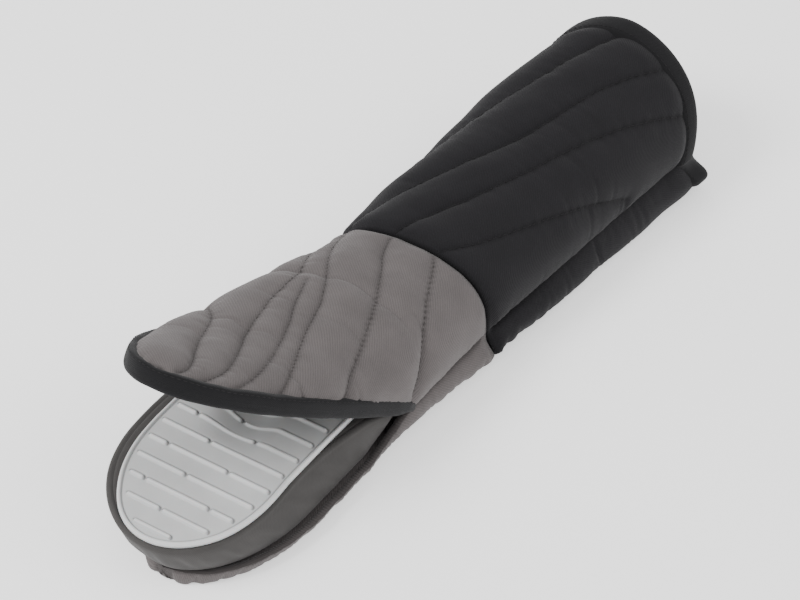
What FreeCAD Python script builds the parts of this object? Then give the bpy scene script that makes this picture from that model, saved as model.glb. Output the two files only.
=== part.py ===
"""Long gauntlet oven mitt with an open flap over a silicone-faced lower jaw, in millimetres.

+X runs from the wrist towards the fingertips, +Y to the right-hand side seam, +Z up. The origin
lies on the surface that the mitt rests on, under the corners of the mouth. Every layer is a
closed solid: outer fabric, wadding and lining are nested shells that meet along the side seams.
"""
import FreeCAD
import Part
import math
import os
from FreeCAD import Vector

# ---- driving dimensions ----
WRIST_X = -70.0            # seam between the grey hand and the black cuff
OPENING_X = -255.0         # cuff opening, at the side seams
CUFF_ROOT_X = -115.0       # the cuff bends between the wrist seam and here
KNUCKLE_X = -45.0          # the upper panel bends from here ...
FLAP_START = 14.0          # ... to here, where the free flap begins
FLAP_LENGTH = 159.0
FLAP_HALF_WIDTH = 54.0
FLAP_TIP_START = 105.0     # the flap's tip needs closer sections from here
ROOF_TIP = 141.0           # the flap's facing ends here, behind the binding
RIM_ANGLE = 36.0           # how far the flap's bound rim stands open
CLOSING_ANGLE = 22.0       # the flap can come down this far, about the corners of the mouth
CLOSED_HEIGHT = 37.0       # and its stiff part then stays above this height
FLAP_SKEW = -9.0           # the flap leans to the left of the lower jaw
SEAM_HEIGHT = 22.0         # side seam above the table along the hand
JAW_TIP_X = 155.5          # lower jaw, at its bottom panel
JAW_HALF_WIDTH = 50.5
JAW_TIP_START = 80.0       # whose sides start to round off here
WALL_TIP_X = 154.5         # and at the gusset's lower seam, inside the bottom panel's lip
WALL_HALF_WIDTH = 46.5
TOP_TIP_X = 163.5          # lower jaw, at the palm facing
TOP_HALF_WIDTH = 48.0
TIP_START_X = 98.0         # the palm's sides start to round off here
PAD_TIP_X = 161.5
PAD_HALF_WIDTH = 42.5
PAD_START_X = 32.0
EDGE_HEIGHT = 9.0          # seam between bottom panel and gusset
GUSSET_TOP = 31.0
FACING_START_X = 15.0

# ---- layers, as depths below the outer surface ----
FABRIC = 1.0
WADDING = 4.4
LINING = 0.8
GAP = 0.2
PANEL_IN = FABRIC
WADDING_OUT = PANEL_IN + GAP
WADDING_IN = WADDING_OUT + WADDING
LINING_OUT = WADDING_IN + GAP
LINING_IN = LINING_OUT + LINING
ROOF_OUT = LINING_IN + 0.6     # the flap's lower wall starts inside its upper wall
ROOF_WADDING = 2.4

# ---- shape along the mitt, as (station, value) keys ----
CENTRE_Y = [(-255, 50.0), (-140, 30.0), (-70, 19.0), (0, 10.0), (80, 3.0), (170, 0.0)]
SEAM_HALF = [(-255, 51.0), (-140, 51.0), (-70, 50.5), (0, 54.0)]
SEAM_Z = [(-255, 29.0), (-70, SEAM_HEIGHT), (0, SEAM_HEIGHT)]
CROWN = [(-255, 58.0), (-140, 48.5), (-70, 44.0), (0, 54.0), (40, 39.0), (80, 23.0),
         (120, 13.5), (150, 10.0), (159, 8.8)]
TILT = [(-70, 0.0), (0, 16.0), (60, 30.0), (159, 36.0)]
UPPER_BULGE = [(-255, 11.0), (-140, 7.0), (-70, 7.0), (0, 7.0), (60, 0.0)]
LOWER_BULGE = [(-255, 23.0), (-70, 18.0), (0, 6.0), (35, 0.0)]
UPPER_SWAY = [(-255, -8.0), (-140, 0.0)]      # the cuff's top leans left at its opening
LOWER_SWAY = [(-255, 8.0), (-190, 6.0), (-70, 11.0), (-20, 8.0), (20, 0.0)]   # its underside lies right
JAW_SWAY = [(0, 0.0), (60, 5.0)]              # the lower jaw leans: its bottom panel lies to the right
WALL_SWAY = [(0, 0.0), (60, 1.5)]             # of the gusset's lower seam,
PALM_SWAY = [(20, 0.0), (70, -7.5), (125, -5.5), (165, -1.0)]     # and the palm to the left of it
PAD_SWAY = [(90, -4.0), (140, -1.5)]
EDGE_Z = [(0, SEAM_HEIGHT), (35, EDGE_HEIGHT)]
FLOOR_LIFT = [(-255, 3.4), (-215, -0.5)]   # the binding raises the cuff's end; the rest is flat
RIM_TOP_Z = [(0, SEAM_HEIGHT + 0.8), (30, GUSSET_TOP)]
ROOF_CROWN = [(14, 10.0), (40, 14.0), (100, 3.2), (145, 0.1)]
UPPER_OVERHANG = 24.0      # the opening's top edge stands this far past its side seams
LOWER_OVERHANG = 13.0
UPPER_POWER = [(-255, 1.8), (-190, 2.1), (-140, 2.2)]   # superellipse powers of the cross sections
LOWER_POWER = 2.6
FLAP_POWER = 2.6           # and of the flap's and the jaw's rounded ends
PALM_POWER = 2.1
JAW_POWER = 2.0

# ---- small parts ----
BINDING_THICK = 2.0
BINDING_WIDTH = 12.0
BINDING_CLEAR = 0.4
BINDING_END = 0.012        # each run of it stops this share of a half turn short of the side seam
BINDING_SLACK = 1.0        # the cuff binding's straight runs stay off the curved lining
RIM_BINDING_UP = 7.0
RIM_BINDING_DOWN = 3.2
GUSSET_THICK = 1.0
GUSSET_WADDING = 3.4
PALM_INSET = 8.2           # the palm's wadding and lining stay inside the gusset's
PALM_WADDING = 4.6
PALM_LINING = 0.6
PAD_BOTTOM = 32.4
PAD_TOP = 35.2
RIB_HEIGHT = 1.2
RIB_WIDTH = 2.6
FIRST_RIB_X = 36.5
RIB_PITCH = 13.1
RIB_COUNT = 10
RIB_GAP = 2.4
RIB_INSET = 4.5
RIB_BREAKS = [[-0.15], [-0.65, 0.31]]  # where alternate rows are broken, as shares of their half length
FOLD_THICK = 1.2           # fold of fabric at the back of the mouth
FOLD_BACK = 5.0
FOLD_RISE = 7.5
FOLD_HALF_WIDTH = 40.0
GUSSET_ROOT_X = 6.0
BINDING_ROOT = 22.0        # the flap's binding starts this far along its rim
SECTION_POINTS = 17


def key_value(keys, x):
    """Smooth value at x through a list of (x, value) keys, flat beyond its ends."""
    if x <= keys[0][0]:
        return keys[0][1]
    if x >= keys[-1][0]:
        return keys[-1][1]
    i = max(k for k in range(len(keys) - 1) if keys[k][0] <= x)
    x0, v0 = keys[i]
    x1, v1 = keys[i + 1]
    xa, va = keys[max(i - 1, 0)]
    xb, vb = keys[min(i + 2, len(keys) - 1)]
    span = x1 - x0
    slope0 = (v1 - va) / (x1 - xa) * span
    slope1 = (vb - v0) / (xb - x0) * span
    u = (x - x0) / span
    hermite = (2 * u ** 3 - 3 * u ** 2 + 1) * v0 + (u ** 3 - 2 * u ** 2 + u) * slope0
    return hermite + (3 * u ** 2 - 2 * u ** 3) * v1 + (u ** 3 - u ** 2) * slope1


def signed_power(value, power):
    return math.copysign(abs(value) ** power, value)


def cuff_share(s):
    """0 at the wrist seam and beyond it, 1 at the cuff's opening."""
    return max(0.0, (WRIST_X - s) / (WRIST_X - OPENING_X))


def upper_point(s, t, depth=0.0, crown=None):
    """Point of the upper side at station s and angle t (0 right seam, pi left), depth below it."""
    length = FLAP_LENGTH - depth
    height = key_value(CROWN if crown is None else crown, s) - (depth if crown is None else 0.0)
    tilt = math.radians(key_value(TILT, s))
    bulge = key_value(UPPER_BULGE, s)
    if s <= 0:
        half = key_value(SEAM_HALF, s) - depth
        centre = key_value(CENTRE_Y, s)
        base_x, base_z = s, key_value(SEAM_Z, s)
    else:
        angle = math.radians(RIM_ANGLE)
        taper = max(0.0, 1 - (s / length) ** FLAP_POWER) ** 0.5
        half = (FLAP_HALF_WIDTH - depth) * taper
        centre = key_value(CENTRE_Y, 0) + s * math.tan(math.radians(FLAP_SKEW))
        base_x, base_z = s * math.cos(angle), SEAM_HEIGHT + s * math.sin(angle)
    c, q = math.cos(t), math.sin(t)
    power = 2 / key_value(UPPER_POWER, s)
    y = signed_power(c, power) * (half + bulge) - bulge * c * abs(c) ** 3
    y += key_value(UPPER_SWAY, s) * q * q
    rise = abs(q) ** power * height
    overhang = rise / key_value(CROWN, s) * UPPER_OVERHANG * cuff_share(s)
    return Vector(base_x - rise * math.sin(tilt) - overhang, centre + y, base_z + rise * math.cos(tilt))


def tongue_half(x, wide, tip, start=TIP_START_X, power=PALM_POWER):
    """Half width of a tongue-shaped outline at x: straight sides and a superellipse end."""
    u = max(0.0, (x - start) / (tip - start))
    return wide * max(0.0, 1 - u ** power) ** 0.5


def lower_point(s, t, depth=0.0):
    """Point of the lower side at station s and angle t (0 right edge, pi left), depth above it."""
    edge_z = key_value(SEAM_Z, s) if s <= 0 else key_value(EDGE_Z, s)
    bulge = key_value(LOWER_BULGE, s)
    centre = key_value(CENTRE_Y, s) + key_value(JAW_SWAY, s)
    if s <= 0:
        half = key_value(SEAM_HALF, s) - depth
    else:
        wide = key_value([(0, FLAP_HALF_WIDTH), (60, JAW_HALF_WIDTH)], s)
        half = tongue_half(s, wide - depth, JAW_TIP_X - depth, JAW_TIP_START, JAW_POWER)
    c, q = math.cos(t), math.sin(t)
    y = signed_power(c, 2 / LOWER_POWER) * (half + bulge) - bulge * c * abs(c) ** 5
    y += key_value(LOWER_SWAY, s) * q * q
    drop = abs(q) ** (2 / LOWER_POWER) * (edge_z - key_value(FLOOR_LIFT, s) - depth)
    overhang = drop / edge_z * LOWER_OVERHANG * cuff_share(s)
    return Vector(s - overhang, centre + y, edge_z - drop)


def spline(points):
    """Clamped uniform cubic B-spline with the points as its control points."""
    knots = len(points) - 2
    curve = Part.BSplineCurve()
    multiplicities = [4] + [1] * (knots - 2) + [4]
    curve.buildFromPolesMultsKnots(points, multiplicities, list(range(knots)), False, 3)
    return curve.toShape()


def angles():
    """Section angles, closer together at the two seams where the sections curve most."""
    steps = SECTION_POINTS - 1
    return [math.pi * (i / steps - 0.11 * math.sin(4 * math.pi * i / steps) / 2) for i in range(steps + 1)]


def shell(point, stations, outer, inner):
    """Loft a wall between two depths through flat sections at the given stations."""
    wires = []
    for s in stations:
        outside = [point(s, t, outer) for t in angles()]
        inside = [point(s, t, inner) for t in reversed(angles())]
        edges = [spline(outside), Part.makeLine(outside[-1], inside[0]),
                 spline(inside), Part.makeLine(inside[-1], outside[0])]
        wires.append(Part.Wire(edges))
    return Part.makeLoft(wires, True, True)


def pressed_flat(shape):
    """The shape cut off at the surface that the mitt rests on."""
    below = Part.makeBox(600, 400, 20, Vector(-400, -200, -20))
    return shape.cut(below)


def even_stations(first, last, count):
    return [first + (last - first) * i / (count - 1) for i in range(count)]


def rounding_stations(first, start, last):
    """Stations to a rounded tip: even up to start, then closer and closer to the last."""
    steps = 12
    tip = [start + (last - start) * math.sin(math.pi / 2 * i / steps) for i in range(1, steps)]
    return even_stations(first, start, 12) + tip + [last]


def flattened(points):
    """The points moved square onto their own mean plane."""
    normal = Vector()
    for a, b in zip(points, points[1:] + points[:1]):
        normal = normal + a.cross(b)
    normal.normalize()
    middle = sum(points, Vector()) * (1 / len(points))
    return [p - normal * (p - middle).dot(normal) for p in points]


def band(sections):
    """Loft a closed polygon section through a list of sections, with straight faces."""
    wires = []
    for points in sections:
        flat = flattened(points)
        wires.append(Part.makePolygon(flat + [flat[0]]))
    return Part.makeLoft(wires, True, True)


def tongue_outline(wide, tip, first_x, sway, start=TIP_START_X, power=PALM_POWER):
    """Points (x, y) of a tongue from its right root round the tip to its left root."""
    straight = 6
    round_steps = 12
    right = []
    for i in range(straight):
        x = first_x + (start - first_x) * i / straight
        right.append((x, wide))
    for i in range(round_steps + 1):
        turn = math.pi / 2 * (1 - i / round_steps)
        u = abs(math.cos(turn)) ** (2 / power)
        right.append((start + (tip - start) * u, wide * math.sin(turn)))
    left = [(x, -y) for x, y in reversed(right[:-1])]
    return [(x, y + key_value(CENTRE_Y, x) + key_value(sway, x)) for x, y in right + left]


def plate(wide, tip, first_x, z_low, z_high, sway=PALM_SWAY):
    """Flat tongue-shaped plate with a smooth outline."""
    points = [Vector(x, y, z_low) for x, y in tongue_outline(wide, tip, first_x, sway)]
    curve = Part.BSplineCurve()
    curve.interpolate(points)
    closing = Part.makeLine(points[-1], points[0])
    face = Part.Face(Part.Wire([curve.toShape(), closing]))
    return face.extrude(Vector(0, 0, z_high - z_low))


# ---- hand ----

def hand_layers():
    """The grey hand: a fixed upper wall behind the knuckles and the whole lower side."""
    upper = even_stations(KNUCKLE_X, WRIST_X, 5)
    knuckles = even_stations(KNUCKLE_X + GAP, FLAP_START - GAP, 7)
    return {
        "hand_upper_panel": shell(upper_point, upper, 0, PANEL_IN),
        "hand_upper_wadding": shell(upper_point, upper, WADDING_OUT, WADDING_IN),
        "hand_upper_lining": shell(upper_point, upper, LINING_OUT, LINING_IN),
        "lower_panel": pressed_flat(lower_layer(0, PANEL_IN)),
        "lower_wadding": lower_layer(WADDING_OUT, WADDING_IN),
        "lower_lining": lower_layer(LINING_OUT, LINING_IN),
        "knuckle_fold": shell(upper_point, knuckles, 0, LINING_IN),
    }


def lower_layer(outer, inner):
    stations = rounding_stations(WRIST_X, JAW_TIP_START, JAW_TIP_X - inner - GAP)
    return shell(lower_point, stations, outer, inner)


def wall_outline(offset):
    """The gusset's lower edge."""
    return tongue_outline(WALL_HALF_WIDTH - offset, WALL_TIP_X - offset, GUSSET_ROOT_X, WALL_SWAY,
                          JAW_TIP_START, JAW_POWER)


def palm_outline(offset):
    return tongue_outline(TOP_HALF_WIDTH - offset, TOP_TIP_X - offset, GUSSET_ROOT_X, PALM_SWAY)


def gusset(inner_offset, outer_offset):
    """Side wall of the lower jaw between two distances inside its outer face."""
    low = wall_outline(outer_offset)
    high = palm_outline(outer_offset)
    low_in = wall_outline(inner_offset)
    high_in = palm_outline(inner_offset)
    sections = []
    for a, b, c, d in zip(low, high, high_in, low_in):
        bottom = key_value(EDGE_Z, a[0]) + GAP
        top = key_value(RIM_TOP_Z, b[0])
        sections.append([Vector(a[0], a[1], bottom), Vector(b[0], b[1], top),
                         Vector(c[0], c[1], top), Vector(d[0], d[1], bottom)])
    return band(sections)


def palm_parts():
    """Side wall, facing, wadding and lining of the lower jaw, above the finger pocket."""
    inner_half = TOP_HALF_WIDTH - PALM_INSET
    inner_tip = TOP_TIP_X - PALM_INSET
    facing_low = GUSSET_TOP + GAP
    wadding_low = GUSSET_TOP - PALM_WADDING
    lining_high = wadding_low - GAP
    lining_low = lining_high - PALM_LINING
    return {
        "jaw_gusset": gusset(GUSSET_THICK, 0.0),
        "jaw_gusset_wadding": gusset(GUSSET_THICK + GAP + GUSSET_WADDING, GUSSET_THICK + GAP),
        "palm_facing": plate(TOP_HALF_WIDTH, TOP_TIP_X, FACING_START_X, facing_low, facing_low + FABRIC),
        "palm_wadding": plate(inner_half, inner_tip, PAD_START_X, wadding_low, GUSSET_TOP),
        "palm_lining": plate(inner_half, inner_tip, PAD_START_X, lining_low, lining_high),
    }


def palm_grip_pad():
    """Silicone pad: a flat tongue with rows of short raised ribs in a staggered pattern."""
    pad = plate(PAD_HALF_WIDTH, PAD_TIP_X, PAD_START_X, PAD_BOTTOM, PAD_TOP, PAD_SWAY)
    root = (PAD_TOP - PAD_BOTTOM) / 2
    for row in range(RIB_COUNT):
        x = FIRST_RIB_X + RIB_PITCH * row
        half = tongue_half(x + RIB_WIDTH, PAD_HALF_WIDTH, PAD_TIP_X) - RIB_INSET
        centre = key_value(CENTRE_Y, x) + key_value(PAD_SWAY, x)
        breaks = [share * half for share in RIB_BREAKS[row % 2]]
        edges = [-half - RIB_GAP / 2] + breaks + [half + RIB_GAP / 2]
        for low, high in zip(edges[:-1], edges[1:]):
            corner = Vector(x - RIB_WIDTH / 2, centre + low + RIB_GAP / 2, PAD_TOP - root)
            rib = Part.makeBox(RIB_WIDTH, high - low - RIB_GAP, RIB_HEIGHT + root, corner)
            pad = pad.fuse(rib)
    return pad.removeSplitter()


def mouth_fold():
    """Fold of fabric at the back of the mouth, from the palm facing up to the flap's facing."""
    low_z = GUSSET_TOP + GAP
    front_x = FACING_START_X - GAP
    start_y = key_value(CENTRE_Y, 0) - FOLD_HALF_WIDTH
    outline = [(front_x, low_z), (FOLD_BACK, low_z + 0.2 * FOLD_RISE)]
    outline.append((FOLD_BACK - FOLD_THICK, low_z + 0.6 * FOLD_RISE))
    outline.append((FOLD_BACK + FOLD_THICK, low_z + FOLD_RISE))
    inner = [(x + FOLD_THICK, z + FOLD_THICK / 2) for x, z in reversed(outline[1:])]
    inner.append((front_x, low_z + FOLD_THICK))
    points = [Vector(x, start_y, z) for x, z in outline + inner]
    face = Part.Face(Part.makePolygon(points + [points[0]]))
    return face.extrude(Vector(0, 2 * FOLD_HALF_WIDTH, 0))


# ---- flap ----

def flap_layer(outer, inner):
    stations = rounding_stations(FLAP_START, FLAP_TIP_START, FLAP_LENGTH - inner - GAP)
    return shell(upper_point, stations, outer, inner)


def roof_layer(outer, inner, lift):
    """Wall of the flap's lower side, domed less than its upper side."""
    def point(s, t, depth):
        extra = lift + (outer - depth)
        crown = [(x, max(0.6, value + extra)) for x, value in ROOF_CROWN]
        return upper_point(s, t, depth, crown)
    return shell(point, rounding_stations(FLAP_START, FLAP_TIP_START, ROOF_TIP), outer, inner)


def corner_space(gap):
    """The space where the fabric beside the mouth's corners crumples when the flap comes down."""
    top = CLOSED_HEIGHT + gap
    space = Part.makeBox(300, 300, 60, Vector(-100, -150, top - 60))
    space.rotate(Vector(0, 0, SEAM_HEIGHT), Vector(0, -1, 0), CLOSING_ANGLE)
    return space


def flap_parts():
    """The flap's stiff layers, and the loose fabric at its two corners."""
    facing_out = ROOF_OUT + ROOF_WADDING + GAP
    wadding_lift = ROOF_WADDING + GAP + FABRIC
    layers = {
        "flap_outer_panel": flap_layer(0, PANEL_IN),
        "flap_wadding": flap_layer(WADDING_OUT, WADDING_IN),
        "flap_lining": flap_layer(LINING_OUT, LINING_IN),
        "flap_facing_wadding": roof_layer(ROOF_OUT, ROOF_OUT + ROOF_WADDING, wadding_lift),
        "flap_facing": roof_layer(facing_out, facing_out + FABRIC, FABRIC),
        "flap_binding": flap_binding(),
    }
    parts = {name: layer.cut(corner_space(GAP)) for name, layer in layers.items()}
    folds = []
    for shape in (flap_layer(0, LINING_IN), layers["flap_binding"]):
        folds += shape.common(corner_space(0)).Solids
    parts["mouth_corner_folds"] = Part.makeCompound(folds)
    return parts


def rim_point(s, y, up):
    """Point of the flap's rim plane, at y across and up along the plane's normal."""
    angle = math.radians(RIM_ANGLE)
    x = s * math.cos(angle) - up * math.sin(angle)
    return Vector(x, y, SEAM_HEIGHT + s * math.sin(angle) + up * math.cos(angle))


def flap_binding():
    """Bias tape round the flap's rim: an outer wall and a lip under the layers' edges."""
    half_turns = 16
    sections = []
    for i in range(-half_turns, half_turns + 1):
        share = 1 - abs(i) / half_turns
        turn = math.pi / 2 * (1 - share ** 0.8)
        side = 1 if i < 0 else -1
        outer = rim_outline(turn, side, BINDING_CLEAR + BINDING_THICK)
        wall = rim_outline(turn, side, BINDING_CLEAR)
        lip = rim_outline(turn, side, -ROOF_OUT - ROOF_WADDING)
        sections.append([rim_point(*outer, -RIM_BINDING_DOWN), rim_point(*outer, RIM_BINDING_UP),
                         rim_point(*wall, RIM_BINDING_UP), rim_point(*wall, -BINDING_CLEAR),
                         rim_point(*lip, -BINDING_CLEAR), rim_point(*lip, -RIM_BINDING_DOWN)])
    return band(sections)


def rim_outline(turn, side, offset):
    """(s, y) on the flap's outline grown by offset; turn runs from 0 at the tip to pi/2."""
    length = FLAP_LENGTH + offset
    share = math.cos(turn) ** (2 / FLAP_POWER)
    s = BINDING_ROOT + (length - BINDING_ROOT) * share
    half = (FLAP_HALF_WIDTH + offset) * max(0.0, 1 - (s / length) ** FLAP_POWER) ** 0.5
    centre = key_value(CENTRE_Y, 0) + s * math.tan(math.radians(FLAP_SKEW))
    return s, centre + side * half


# ---- cuff ----

def cuff_parts():
    stations = even_stations(CUFF_ROOT_X - GAP, OPENING_X, 13)
    root = even_stations(WRIST_X - GAP, CUFF_ROOT_X + GAP, 5)
    parts = {
        "cuff_upper_root": shell(upper_point, root, 0, LINING_IN),
        "cuff_lower_root": pressed_flat(shell(lower_point, root, 0, LINING_IN)),
    }
    for side, point in (("upper", upper_point), ("lower", lower_point)):
        parts["cuff_%s_panel" % side] = pressed_flat(shell(point, stations, 0, PANEL_IN))
        parts["cuff_%s_wadding" % side] = shell(point, stations, WADDING_OUT, WADDING_IN)
        parts["cuff_%s_lining" % side] = shell(point, stations, LINING_OUT, LINING_IN)
    parts["cuff_binding"] = cuff_binding()
    return parts


def cuff_binding():
    """Bias tape over the cuff's edge: one run over the upper wall and one over the lower."""
    inner_leg = LINING_IN + BINDING_SLACK + BINDING_CLEAR
    outer_leg = -BINDING_CLEAR
    start = OPENING_X + BINDING_WIDTH
    end = OPENING_X - BINDING_CLEAR
    cap = end - BINDING_THICK
    runs = []
    for point in (upper_point, lower_point):
        sections = []
        steps = 24
        for i in range(steps + 1):
            t = math.pi * (BINDING_END + (1 - 2 * BINDING_END) * i / steps)
            corners = [(start, outer_leg - BINDING_THICK), (start, outer_leg), (end, outer_leg),
                       (end, inner_leg), (start, inner_leg), (start, inner_leg + BINDING_THICK),
                       (cap, inner_leg + BINDING_THICK), (cap, outer_leg - BINDING_THICK)]
            sections.append([point(s, t, depth) for s, depth in corners])
        runs.append(pressed_flat(band(sections)))
    return Part.makeCompound(runs)


def build():
    parts = {}
    parts.update(hand_layers())
    parts.update(palm_parts())
    parts["palm_grip_pad"] = palm_grip_pad()
    parts["mouth_fold"] = mouth_fold()
    parts.update(flap_parts())
    parts.update(cuff_parts())
    return parts


def main():
    os.makedirs("parts", exist_ok=True)
    for name, shape in build().items():
        shape.exportStep("parts/%s.step" % name)
        box = shape.BoundBox
        print("%-22s valid %s solids %d volume %9.0f  x %.0f..%.0f y %.0f..%.0f z %.1f..%.1f" % (
            name, shape.isValid(), len(shape.Solids), shape.Volume,
            box.XMin, box.XMax, box.YMin, box.YMax, box.ZMin, box.ZMax))


main()
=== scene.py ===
"""Long gauntlet oven mitt: quilted fabric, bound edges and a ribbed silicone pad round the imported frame.

Shapes are worked out in millimetres, in the row frame, and turned into metres when a mesh is made.
"""

import math

import bmesh
import bpy
import numpy as np
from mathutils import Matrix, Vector


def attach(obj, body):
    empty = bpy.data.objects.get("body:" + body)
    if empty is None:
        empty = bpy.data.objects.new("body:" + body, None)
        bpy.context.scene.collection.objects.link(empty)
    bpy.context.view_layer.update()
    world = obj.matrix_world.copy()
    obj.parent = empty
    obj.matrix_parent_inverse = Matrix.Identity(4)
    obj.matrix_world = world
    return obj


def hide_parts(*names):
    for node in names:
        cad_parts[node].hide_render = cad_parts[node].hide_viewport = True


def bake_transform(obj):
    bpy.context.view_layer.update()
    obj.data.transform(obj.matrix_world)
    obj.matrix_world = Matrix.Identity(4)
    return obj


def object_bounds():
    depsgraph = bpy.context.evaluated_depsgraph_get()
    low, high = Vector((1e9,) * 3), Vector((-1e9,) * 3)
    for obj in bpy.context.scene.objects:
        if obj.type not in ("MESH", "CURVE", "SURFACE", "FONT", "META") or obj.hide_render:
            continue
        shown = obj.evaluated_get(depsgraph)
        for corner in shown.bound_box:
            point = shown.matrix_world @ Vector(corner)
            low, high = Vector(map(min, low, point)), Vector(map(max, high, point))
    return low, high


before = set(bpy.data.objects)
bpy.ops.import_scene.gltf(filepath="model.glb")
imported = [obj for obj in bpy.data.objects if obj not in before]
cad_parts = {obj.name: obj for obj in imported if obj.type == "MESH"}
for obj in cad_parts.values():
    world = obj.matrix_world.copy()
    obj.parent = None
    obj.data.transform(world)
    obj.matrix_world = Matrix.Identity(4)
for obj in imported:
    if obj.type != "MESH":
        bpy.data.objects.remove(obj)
cad_low, cad_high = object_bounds()

MM = 0.001

# ---- shape, the same driving dimensions as the frame's ----
WRIST_X = -70.0
OPENING_X = -255.0
FLAP_START = 14.0
FLAP_LENGTH = 159.0
FLAP_HALF_WIDTH = 54.0
RIM_ANGLE = math.radians(36.0)
FLAP_SKEW = math.radians(-9.0)
SEAM_HEIGHT = 22.0
JAW_TIP_X = 155.5
JAW_HALF_WIDTH = 50.5
JAW_TIP_START = 80.0
WALL_TIP_X = 154.5
WALL_HALF_WIDTH = 46.5
TOP_TIP_X = 163.5
TOP_HALF_WIDTH = 48.0
TIP_START_X = 98.0
PAD_TIP_X = 161.5
PAD_HALF_WIDTH = 42.5
PAD_START_X = 32.0
EDGE_HEIGHT = 9.0
GUSSET_TOP = 31.0
FACING_START_X = 15.0
TROUGH_DEPTH = 10.0
TROUGH_Y = -2.0
TROUGH_HALF_WIDTH = 21.0
UPPER_OVERHANG = 24.0
LOWER_OVERHANG = 13.0
UPPER_POWER = [(-255, 1.8), (-190, 2.1), (-140, 2.2)]
LOWER_POWER = 2.6
FLAP_POWER = 2.6
PALM_POWER = 2.1
JAW_POWER = 2.0
CENTRE_Y = [(-255, 50.0), (-140, 30.0), (-70, 19.0), (0, 10.0), (80, 3.0), (170, 0.0)]
SEAM_HALF = [(-255, 51.0), (-140, 51.0), (-70, 50.5), (0, 54.0)]
SEAM_Z = [(-255, 29.0), (-70, SEAM_HEIGHT), (0, SEAM_HEIGHT)]
CROWN = [(-255, 58.0), (-140, 48.5), (-70, 44.0), (0, 54.0), (40, 39.0), (80, 23.0),
         (120, 13.5), (150, 10.0), (159, 8.8)]
TILT = [(-70, 0.0), (0, 16.0), (60, 30.0), (159, 36.0)]
UPPER_BULGE = [(-255, 11.0), (-140, 7.0), (-70, 7.0), (0, 7.0), (60, 0.0)]
LOWER_BULGE = [(-255, 23.0), (-70, 18.0), (0, 6.0), (35, 0.0)]
UPPER_SWAY = [(-255, -8.0), (-140, 0.0)]
LOWER_SWAY = [(-255, 8.0), (-190, 6.0), (-70, 11.0), (-20, 8.0), (20, 0.0)]
JAW_SWAY = [(0, 0.0), (60, 5.0)]
WALL_SWAY = [(0, 0.0), (60, 1.5)]
PALM_SWAY = [(20, 0.0), (70, -7.5), (125, -5.5), (165, -1.0)]
PAD_SWAY = [(90, -4.0), (140, -1.5)]
EDGE_Z = [(0, SEAM_HEIGHT), (35, EDGE_HEIGHT)]
FLOOR_LIFT = [(-255, 3.4), (-215, -0.5)]
RIM_TOP_Z = [(0, SEAM_HEIGHT + 0.8), (30, GUSSET_TOP)]
ROOF_CROWN = [(14, 10.0), (40, 14.0), (100, 3.2), (145, 0.1)]

# ---- quilting lines: (station, angle in degrees across the upper side) ----
HAND_LINES = [
    [(153, 60), (136, 84), (112, 103), (80, 122), (54, 152)],
    [(154, 26), (138, 52), (98, 86), (51, 105), (-4, 117), (-60, 152)],
    [(145, 8), (124, 42), (88, 71), (48, 92), (12, 105)],
    [(117, 8), (94, 47), (60, 76), (0, 100), (-69, 137)],
    [(67, 8), (54, 36), (22, 63), (-34, 88), (-69, 101)],
    [(5, 8), (-8, 36), (-28, 55), (-69, 77)],
]
CUFF_LINES = [
    [(-71, 78), (-92, 63), (-144, 36), (-190, 10)],
    [(-71, 102), (-129, 79), (-188, 57), (-253, 26)],
    [(-71, 148), (-100, 122), (-146, 94), (-206, 76), (-253, 53)],
    [(-120, 156), (-150, 134), (-189, 112), (-225, 99), (-253, 85)],
    [(-205, 160), (-228, 140), (-253, 122)],
]
LOWER_LINES = [
    [(-71, 50), (-150, 62), (-253, 70)],
    [(-71, 95), (-150, 108), (-253, 118)],
    [(-68, 60), (20, 48), (90, 62)],
    [(-68, 110), (20, 104), (120, 112)],
]


def key_value(keys, x):
    """Smooth value at x through a list of (x, value) keys, flat beyond its ends."""
    xs = np.array([k[0] for k in keys], float)
    vs = np.array([k[1] for k in keys], float)
    x = np.clip(np.asarray(x, float), xs[0], xs[-1])
    i = np.clip(np.searchsorted(xs, x, side="right") - 1, 0, len(xs) - 2)
    before = np.maximum(i - 1, 0)
    after = np.minimum(i + 2, len(xs) - 1)
    span = xs[i + 1] - xs[i]
    slope0 = (vs[i + 1] - vs[before]) / (xs[i + 1] - xs[before]) * span
    slope1 = (vs[after] - vs[i]) / (xs[after] - xs[i]) * span
    u = (x - xs[i]) / span
    hermite = (2 * u ** 3 - 3 * u ** 2 + 1) * vs[i] + (u ** 3 - 2 * u ** 2 + u) * slope0
    return hermite + (3 * u ** 2 - 2 * u ** 3) * vs[i + 1] + (u ** 3 - u ** 2) * slope1


def signed_power(value, power):
    return np.sign(value) * np.abs(value) ** power


def smooth_step(low, high, value):
    u = np.clip((value - low) / (high - low), 0, 1)
    return u * u * (3 - 2 * u)


def cuff_share(s):
    return np.maximum(0.0, (WRIST_X - s) / (WRIST_X - OPENING_X))


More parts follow.
